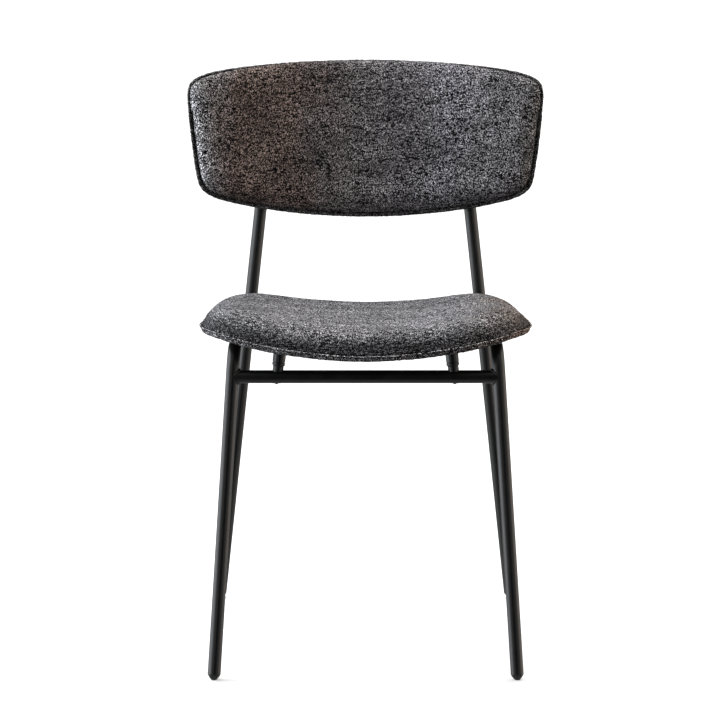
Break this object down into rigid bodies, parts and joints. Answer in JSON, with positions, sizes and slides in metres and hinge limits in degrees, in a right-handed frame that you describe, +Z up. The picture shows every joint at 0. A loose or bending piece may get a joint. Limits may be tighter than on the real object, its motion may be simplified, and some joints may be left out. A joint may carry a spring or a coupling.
{
  "type": "dining chair",
  "caption": "Upholstered side chair: a dished padded seat and a wide curved padded backrest on a splayed, welded black round-tube frame.",
  "frame": {"origin": "on the floor, on the chair's plane of symmetry, half way between the front and rear feet", "axes": "+Z up, the chair faces -Y, +X to its right as seen from the front"},
  "size_m": [0.5144, 0.5155, 0.803],
  "materials": {
    "frame_tube": "satin",
    "black_plastic": "matte",
    "black_steel": "satin",
    "zinc_steel": "satin",
    "plywood": "matte",
    "foam": "matte",
    "chenille": "matte",
    "dust_cloth": "matte"
  },
  "bodies": {
    "root": {"front_leg_left": "frame_tube", "front_leg_right": "frame_tube", "rear_leg_left": "frame_tube", "rear_leg_right": "frame_tube", "front_crossbar": "frame_tube", "rear_crossbar": "frame_tube", "glide_front_left": "black_plastic", "glide_front_right": "black_plastic", "glide_rear_left": "black_plastic", "glide_rear_right": "black_plastic", "upright_cap_left": "black_plastic", "upright_cap_right": "black_plastic", "seat_shell": "plywood", "seat_foam": "foam", "seat_top_cover": "chenille", "seat_border": "chenille", "seat_underside_cloth": "dust_cloth", "seat_t_nuts": "zinc_steel", "seat_screws": "black_steel", "seat_washers": "black_steel", "seat_bar_plugs": "black_plastic", "seat_spacer_front_left": "black_plastic", "seat_spacer_front_right": "black_plastic", "seat_spacer_rear_left": "black_plastic", "seat_spacer_rear_right": "black_plastic", "back_shell": "plywood", "back_foam": "foam", "back_wadding": "foam", "back_front_cover": "chenille", "back_border": "chenille", "back_rear_cover": "chenille", "back_t_nuts": "zinc_steel", "back_screws": "black_steel", "back_spacers": "black_plastic"}
  },
  "joints": []
}
